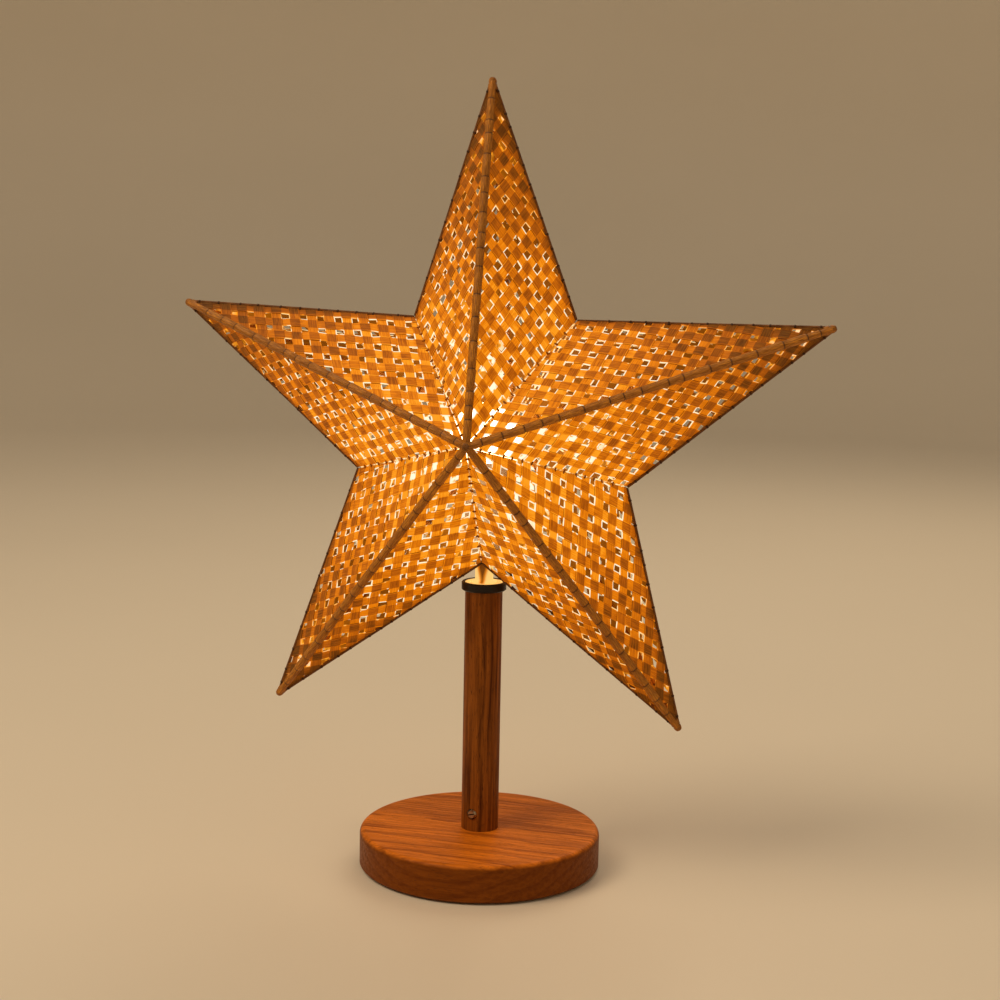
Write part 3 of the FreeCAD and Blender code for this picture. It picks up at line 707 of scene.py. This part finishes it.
for arm in ARMS:
    luck = random.Random(f"rim {arm}")
    bm, uv, groove = rod_mesh()
    for side in WAYS:
        for hand in HANDS:
            inner = corners[side, arm, hand]
            if side == "back" and abs(inner.y) < rim_radius:
                continue
            way = (inner - tips[arm]).normalized()
            start = tips[arm] + way * 0.003
            end = inner - way * 0.0006
            rings = stitched_rings((end - start).length, rim_radius, luck)
            drawn_rod(bm, uv, groove, rings, 10, start, end, luck)
    finish_rods(f"rims_{arm}", bm, dark_binding, "dark_binding", f"rim_rods_{arm}")

# ---- Tip bindings and hub knots --------------------------------------------------------
# At each tip the two ribs and the rim rods are bound together into a blunt nose. At each hub the
# five ribs are lashed into a small knot.

bm, uv, groove = rod_mesh()
luck = random.Random("tips")
for arm in ARMS:
    inward = (Vector((star_middle.x, 0, star_middle.z)) - tips[arm]).normalized()
    rings = [
        (0.0, 0.0009, 0.5), (0.0004, 0.0016, 0.4), (0.0011, 0.0021, 0.3), (0.0022, 0.0024, 0.2),
        (0.0032, 0.0025, 0.4), (0.0036, 0.0021, 1.0), (0.0040, 0.0027, 0.4),
        (0.0060, 0.0029, 0.2), (0.0071, 0.0029, 0.4), (0.0076, 0.0023, 1.0),
    ]
    drawn_rod(bm, uv, groove, rings, 18, tips[arm], tips[arm] + inward, luck)
finish_rods("tip_noses", bm, cane, "cane", "tip_bindings")

bm, uv, groove = rod_mesh()
luck = random.Random("knots")
for side, way in WAYS.items():
    outward = Vector((0, way, 0))
    start = hubs[side] - outward * 0.0026
    rings = [(0.0, 0.0026, 1.0)]
    for k in range(4):
        round_out = math.sin(math.pi * (k + 1) / 5.4)
        rings += [(0.0004 + 0.0012 * k, 0.0015 + 0.0014 * round_out, 1.0),
                  (0.0008 + 0.0012 * k, 0.0017 + 0.0016 * round_out, 0.1),
                  (0.0013 + 0.0012 * k, 0.0016 + 0.0015 * round_out, 0.1)]
    rings += [(0.0056, 0.0020, 0.6), (0.0060, 0.0009, 0.6)]
    drawn_rod(bm, uv, groove, rings, 18, start, start + outward, luck)
finish_rods("hub_lashings", bm, cane, "cane", "hub_knots")

# ---- Valley seams ----------------------------------------------------------------------
# In each valley a strip of thin paper closes the joint between two mats. It glows with painted
# light, brighter at its thin spots than the mats are. Brown thread stitches hold the mats to it,
# one leg lying on each mat.

seam_paper, tree, shader = new_material("seam_paper", Base_Color=(0.5, 0.3, 0.12, 1),
                                        Roughness=0.8, Emission_Strength=1.0)
lit = use(tree, bulb_reach, {"Near": 0.05, "Far": 0.16})["Reach"]
spot = add(tree, "TexCoord")
mottle = add(tree, "TexNoise", {"Vector": spot.outputs["Object"], "Scale": 300.0, "Detail": 2.0})
level = calc(tree, "MULTIPLY", calc(tree, "MULTIPLY_ADD", lit, 0.36, 0.42),
             spread(tree, mottle.outputs["Fac"], 0.42, 0.58, 0.3, 1.1))
put(tree, glow_ramp(tree, level, EDGE_GLOW), shader, "Emission Color")
seam_paper.cycles.emission_sampling = "NONE"
thread = binding_material("thread", (0.3, 0.085, 0.004, 1), (0.7, 0.24, 0.015, 1),
                          (0.2, 0.06, 0.004, 1), 0.7)

tape_width = 0.0008
for side in WAYS:
    bm, uv, groove = rod_mesh()
    tape = bmesh.new()
    luck = random.Random(f"seams {side}")
    for place, arm in enumerate(ARMS):
        after = ARMS[(place + 1) % len(ARMS)]
        inner, hub = corners[side, arm, "cw"], hubs[side]
        normals = [face_normals[side, arm, "cw"], face_normals[side, after, "ccw"]]
        outward = (normals[0] + normals[1]).normalized()
        way = (inner - hub).normalized()
        length = (inner - hub).length
        made = bmesh.ops.create_grid(tape, x_segments=24, y_segments=2, size=0.5)["verts"]
        bmesh.ops.scale(tape, vec=(length - 0.007, tape_width, 1), verts=made)
        stand = Matrix((way, outward.cross(way), outward)).transposed().to_4x4()
        centre = hub + way * (length / 2 + 0.002) - outward * 0.0004
        bmesh.ops.transform(tape, matrix=Matrix.Translation(centre) @ stand, verts=made)
        at = 0.009
        while at < length - 0.003:
            foot = hub + way * at + outward * 0.0002
            for normal, tip in zip(normals, (tips[arm], tips[after])):
                leg = normal.cross(way).normalized()
                if leg.dot(tip - foot) < 0:
                    leg.negate()
                lift = normal * 0.0005
                spread_out = leg * 0.0016 + way * luck.uniform(-0.0008, 0.0008)
                rings = [(0.0, 0.0007, 0.2), (0.0006, 0.0006, 0.0),
                         (0.0012, 0.0005, 0.0), (0.0016, 0.0002, 0.4)]
                drawn_rod(bm, uv, groove, rings, 7, foot + lift, foot + lift + spread_out, luck)
            at += luck.uniform(0.0052, 0.0098)
    seams = new_piece(f"{side}_seam_paper", tape, seam_paper)
    wall = seams.modifiers.new("thickness", "SOLIDIFY")
    wall.thickness = 0.0002
    wall.offset = -1
    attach(seams, "shade")
    finish_rods(f"{side}_seam_stitches", bm, thread, "dark_binding")

# ---- Wooden base and stem --------------------------------------------------------------
# The base is a disc turned from one pale board, oiled, with its grain running across it. The stem
# is a darker turned rod with its grain upright and open pores.

wood_grain = bpy.data.node_groups.new("wood_grain", "ShaderNodeTree")
wood_grain.interface.new_socket("Grain Place", in_out="INPUT", socket_type="NodeSocketVector")
for name in ("Ring Width", "Wander"):
    wood_grain.interface.new_socket(name, in_out="INPUT", socket_type="NodeSocketFloat")
for name in ("Rings", "Streaks", "Pores"):
    wood_grain.interface.new_socket(name, in_out="OUTPUT", socket_type="NodeSocketFloat")
grain_in = wood_grain.nodes.new("NodeGroupInput")
grain_out = wood_grain.nodes.new("NodeGroupOutput")


def stretched_noise(length, width, detail, roughness=0.5):
    """Noise drawn out along the grain, which runs along X. Sizes are in metres."""
    scaled = add(wood_grain, "Mapping", {
        "Vector": grain_in.outputs["Grain Place"], "Scale": (1 / length, 1 / width, 1 / width)})
    made = add(wood_grain, "TexNoise", {
        "Vector": scaled.outputs["Vector"], "Scale": 1.0, "Detail": detail, "Roughness": roughness})
    return made.outputs["Fac"]


parts = add(wood_grain, "SeparateXYZ", {"Vector": grain_in.outputs["Grain Place"]})
from_pith = add(wood_grain, "CombineXYZ", {"Y": parts.outputs["Y"], "Z": parts.outputs["Z"]})
radius = add(wood_grain, "VectorMath", {0: from_pith.outputs["Vector"]}, operation="LENGTH")
wander = calc(wood_grain, "SUBTRACT", stretched_noise(0.11, 0.03, 2.0), 0.5)
bent = calc(wood_grain, "MULTIPLY_ADD", wander, grain_in.outputs["Wander"], radius.outputs["Value"])
turns = calc(wood_grain, "DIVIDE", bent, grain_in.outputs["Ring Width"])
rise_and_drop = calc(wood_grain, "FRACT", turns)
late = spread(wood_grain, rise_and_drop, 0.35, 0.92)
early = spread(wood_grain, rise_and_drop, 0.92, 1.0)
for name, source in (
    ("Rings", calc(wood_grain, "SUBTRACT", late, early)),
    ("Streaks", spread(wood_grain, stretched_noise(0.045, 0.0018, 4.0, 0.6), 0.3, 0.7)),
    ("Pores", spread(wood_grain, stretched_noise(0.0055, 0.00042, 2.0), 0.6, 0.72)),
):
    wood_grain.links.new(source, grain_out.inputs[name])


def wood(name, light, dark, pore, pith, turn, ring_width, wander, roughness, painted_side_shade):
    """Oiled wood on Object coordinates. The pith is a point of the tree's middle line, and the
    turn brings that line onto X. The sides are darker than the top by painted shade."""
    made, tree, shader = new_material(name, Specular_IOR_Level=0.09)
    spot = add(tree, "TexCoord")
    moved = add(tree, "VectorMath", {0: spot.outputs["Object"], 1: pith}, operation="SUBTRACT")
    turned = add(tree, "Mapping", {"Vector": moved.outputs["Vector"], "Rotation": turn})
    grain = add(tree, "Group", node_tree=wood_grain)
    tree.links.new(turned.outputs["Vector"], grain.inputs["Grain Place"])
    grain.inputs["Ring Width"].default_value = ring_width
    grain.inputs["Wander"].default_value = wander
    share = calc(tree, "MULTIPLY_ADD", grain.outputs["Streaks"], 0.65,
                 calc(tree, "MULTIPLY", grain.outputs["Rings"], 0.42))
    tone = blend(tree, share, light, dark)
    tone = blend(tree, calc(tree, "MULTIPLY", grain.outputs["Pores"], 0.75), tone, pore)
    # Painted shade: faces that turn away from the top are darkened.
    facing = add(tree, "SeparateXYZ", {"Vector": add(tree, "NewGeometry").outputs["Normal"]})
    side_shade_share = spread(tree, facing.outputs["Z"], 0.2, 0.9, painted_side_shade, 0.0)
    put(tree, blend(tree, side_shade_share, tone, pore), shader, "Base Color")
    put(tree, spread(tree, grain.outputs["Streaks"], 0.0, 1.0, roughness - 0.06, roughness + 0.1),
        shader, "Roughness")
    height = calc(tree, "MULTIPLY_ADD", grain.outputs["Pores"], -1.0,
                  calc(tree, "MULTIPLY", grain.outputs["Streaks"], 0.3))
    bump(tree, shader, height, 0.00012)
    return made


def finish_in(material, *nodes):
    """Gives CAD nodes their finish."""
    for name in nodes:
        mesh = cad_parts[name].data
        mesh.materials.clear()
        mesh.materials.append(material)


base_wood = wood(
    "base_wood", light=(0.86, 0.235, 0.012, 1), dark=(0.36, 0.082, 0.003, 1),
    pore=(0.1, 0.022, 0.001, 1), pith=(0.0, 0.03, -0.11), turn=(0, 0, math.radians(5)),
    ring_width=0.0065, wander=0.012, roughness=0.42, painted_side_shade=0.8)
stem_wood = wood(
    "stem_wood", light=(0.36, 0.11, 0.012, 1), dark=(0.08, 0.02, 0.002, 1),
    pore=(0.02, 0.005, 0.001, 1), pith=(0.02, 0.03, 0.0), turn=(0, math.radians(90), 0),
    ring_width=0.0036, wander=0.011, roughness=0.45, painted_side_shade=0.0)
finish_in(base_wood, "base_disc")
finish_in(stem_wood, "stem")

# ---- Ferrule, disc and spacer ----------------------------------------------------------
# A satin black ferrule caps the stem. Inside it lies a pale disc, and on that stands the brass
# spacer that carries the star. The bulb's light through the mouth of the star is painted on both as
# a glow.

ferrule_paint, tree, shader = new_material("ferrule_paint", Specular_IOR_Level=0.3)
spot = add(tree, "TexCoord")
grit = add(tree, "TexNoise", {"Vector": spot.outputs["Object"], "Scale": 900.0, "Detail": 2.0})
put(tree, blend(tree, grit.outputs["Fac"], (0.006, 0.003, 0.001, 1), (0.016, 0.009, 0.004, 1)),
    shader, "Base Color")
put(tree, spread(tree, grit.outputs["Fac"], 0.3, 0.7, 0.3, 0.46), shader, "Roughness")
finish_in(ferrule_paint, "ferrule")


def plain_finish(name, light, dark, scale, roughness, metallic=0.0, **values):
    """A smooth finish whose tone and roughness drift a little, as on any made surface."""
    made, tree, shader = new_material(name, Metallic=metallic, **values)
    spot = add(tree, "TexCoord")
    drift = add(tree, "TexNoise", {"Vector": spot.outputs["Object"], "Scale": scale, "Detail": 5.0})
    put(tree, blend(tree, drift.outputs["Fac"], dark, light), shader, "Base Color")
    put(tree, spread(tree, drift.outputs["Fac"], 0.3, 0.7, roughness - 0.05, roughness + 0.08),
        shader, "Roughness")
    bump(tree, shader, drift.outputs["Fac"], 0.00003)
    return made


# The disc's glow is painted light.
cream_disc = plain_finish("cream_disc", (0.86, 0.7, 0.42, 1), (0.78, 0.6, 0.34, 1), 300.0, 0.45,
                          Emission_Color=(1.0, 0.55, 0.14, 1), Emission_Strength=0.7)
brass = plain_finish("brass", (0.9, 0.62, 0.22, 1), (0.72, 0.45, 0.14, 1), 500.0, 0.3, 1.0)
lit_brass = plain_finish("lit_brass", (0.32, 0.14, 0.02, 1), (0.24, 0.09, 0.01, 1), 400.0, 0.34,
                         0.7, Emission_Strength=0.9)
tree = lit_brass.node_tree
shader = tree.nodes["Principled BSDF"]
spacer_low, spacer_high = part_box("brass_spacer")
spot = add(tree, "TexCoord")
parts = add(tree, "SeparateXYZ", {"Vector": spot.outputs["Object"]})
# The spacer's glow is painted light, and the front valley's shadow is painted as a dark wedge down
# its middle, wider towards the top.
wedge = spread(tree, parts.outputs["Z"], spacer_low.z, spacer_high.z, 0.0002, 0.0026)
aside = calc(tree, "SUBTRACT", calc(tree, "ABSOLUTE", parts.outputs["X"]), wedge)
level = spread(tree, aside, -0.0010, 0.0026)
SPACER_GLOW = (
    (0.0, (0.05, 0.012, 0.0)),
    (0.5, (0.75, 0.22, 0.01)),
    (1.0, (1.0, 0.66, 0.2)),
)
put(tree, glow_ramp(tree, level, SPACER_GLOW), shader, "Emission Color")
finish_in(cream_disc, "stem_disc")
finish_in(lit_brass, "brass_spacer")

# ---- Steel fittings --------------------------------------------------------------------
# A zinc-plated threaded tube, washer and nut tie the lamp together, and the bridge that carries
# the star sits on the same tube. A slotted screw in a nickel cup washer clamps the stem's foot.

zinc = plain_finish("zinc", (0.62, 0.61, 0.58, 1), (0.48, 0.47, 0.44, 1), 700.0, 0.34, 1.0)
finish_in(zinc, "threaded_tube", "base_washer", "base_nut", "shade_bridge")

# The slot across the screw's head is painted dark inside, as painted shade.
screw_spots = spots_of("stem_screw")
screw_way = middle(screw_spots).xy.to_3d().normalized()
head_face = max(s.dot(screw_way) for s in screw_spots)
screw_steel, tree, shader = new_material("screw_steel", Metallic=1.0, Roughness=0.35)
spot = add(tree, "TexCoord")
outwards = add(tree, "VectorMath", {0: spot.outputs["Object"], 1: screw_way},
               operation="DOT_PRODUCT").outputs["Value"]
slot_shade = spread(tree, outwards, head_face - 0.0004, head_face - 0.0001, 1.0, 0.0)
put(tree, blend(tree, slot_shade, (0.46, 0.38, 0.28, 1), (0.008, 0.005, 0.003, 1)),
    shader, "Base Color")
put(tree, calc(tree, "SUBTRACT", 1.0, slot_shade), shader, "Metallic")
finish_in(screw_steel, "stem_screw")

nickel, tree, shader = new_material("nickel", Metallic=1.0)
spot = add(tree, "TexCoord")
wear = add(tree, "TexNoise", {"Vector": spot.outputs["Object"], "Scale": 800.0, "Detail": 4.0})
put(tree, blend(tree, wear.outputs["Fac"], (0.2, 0.15, 0.1, 1), (0.42, 0.34, 0.24, 1)),
    shader, "Base Color")
put(tree, spread(tree, wear.outputs["Fac"], 0.3, 0.7, 0.2, 0.36), shader, "Roughness")
finish_in(nickel, "screw_cup", "bulb_cap")

# ---- Lamp holder and bulb --------------------------------------------------------------
# Inside the star, a two-part plastic holder with a ceramic insert and a brass screw shell takes
# a small screw-cap bulb: nickel cap, white housing and an opal glass globe that is lit.

white_plastic = plain_finish("white_plastic", (0.82, 0.79, 0.72, 1), (0.74, 0.7, 0.62, 1), 220.0,
                             0.4)
ceramic = plain_finish("ceramic", (0.85, 0.83, 0.77, 1), (0.7, 0.67, 0.6, 1), 900.0, 0.62)
finish_in(white_plastic, "holder_cap", "holder_barrel", "bulb_housing")
finish_in(ceramic, "holder_insert")
finish_in(brass, "screw_shell", "centre_contact")

opal, tree, shader = new_material("opal", Base_Color=(0.95, 0.9, 0.8, 1), Roughness=0.25,
                                   Emission_Strength=7.0)
spot = add(tree, "TexCoord")
parts = add(tree, "SeparateXYZ", {"Vector": spot.outputs["Object"]})
up_globe = spread(tree, parts.outputs["Z"], bulb_low.z, bulb_middle.z)
put(tree, blend(tree, up_globe, (1.0, 0.66, 0.32, 1), (1.0, 0.8, 0.5, 1)), shader, "Emission Color")
finish_in(opal, "bulb_globe")

board, tree, shader = new_material("board", Base_Color=(0.85, 0.84, 0.8, 1), Roughness=0.4,
                                    Emission_Strength=3.0)
spot = add(tree, "TexCoord")
parts = add(tree, "SeparateXYZ", {"Vector": spot.outputs["Object"]})
board_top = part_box("light_board")[1].z
chips = spread(tree, parts.outputs["Z"], board_top - 0.0006, board_top - 0.0003)
put(tree, blend(tree, chips, (0.1, 0.06, 0.02, 1), (1.0, 0.7, 0.3, 1)), shader, "Emission Color")
finish_in(board, "light_board")

glow = bpy.data.lights.new("bulb_glow", "POINT")
glow.shadow_soft_size = (bulb_high.x - bulb_low.x) / 2 + 0.001
glow.energy = 0.7
glow.color = (1.0, 0.6, 0.25)
glow_holder = bpy.data.objects.new("bulb_glow", glow)
glow_holder.location = bulb_middle
bpy.context.scene.collection.objects.link(glow_holder)

# ---- Felt and cord bush ----------------------------------------------------------------
# A round of pressed felt is glued under the base, and a black rubber bush lines the cord's way
# out of the base's back.

felt, tree, shader = new_material("felt", Roughness=0.95, Sheen_Weight=0.3)
spot = add(tree, "TexCoord")
fuzz = add(tree, "TexNoise", {"Vector": spot.outputs["Object"], "Scale": 1600.0, "Detail": 6.0})
put(tree, blend(tree, fuzz.outputs["Fac"], (0.02, 0.014, 0.01, 1), (0.075, 0.055, 0.042, 1)),
    shader, "Base Color")
bump(tree, shader, fuzz.outputs["Fac"], 0.0003)
finish_in(felt, "felt_pad")
rubber = plain_finish("rubber", (0.03, 0.028, 0.026, 1), (0.014, 0.013, 0.012, 1), 600.0, 0.6)
finish_in(rubber, "cord_bush")
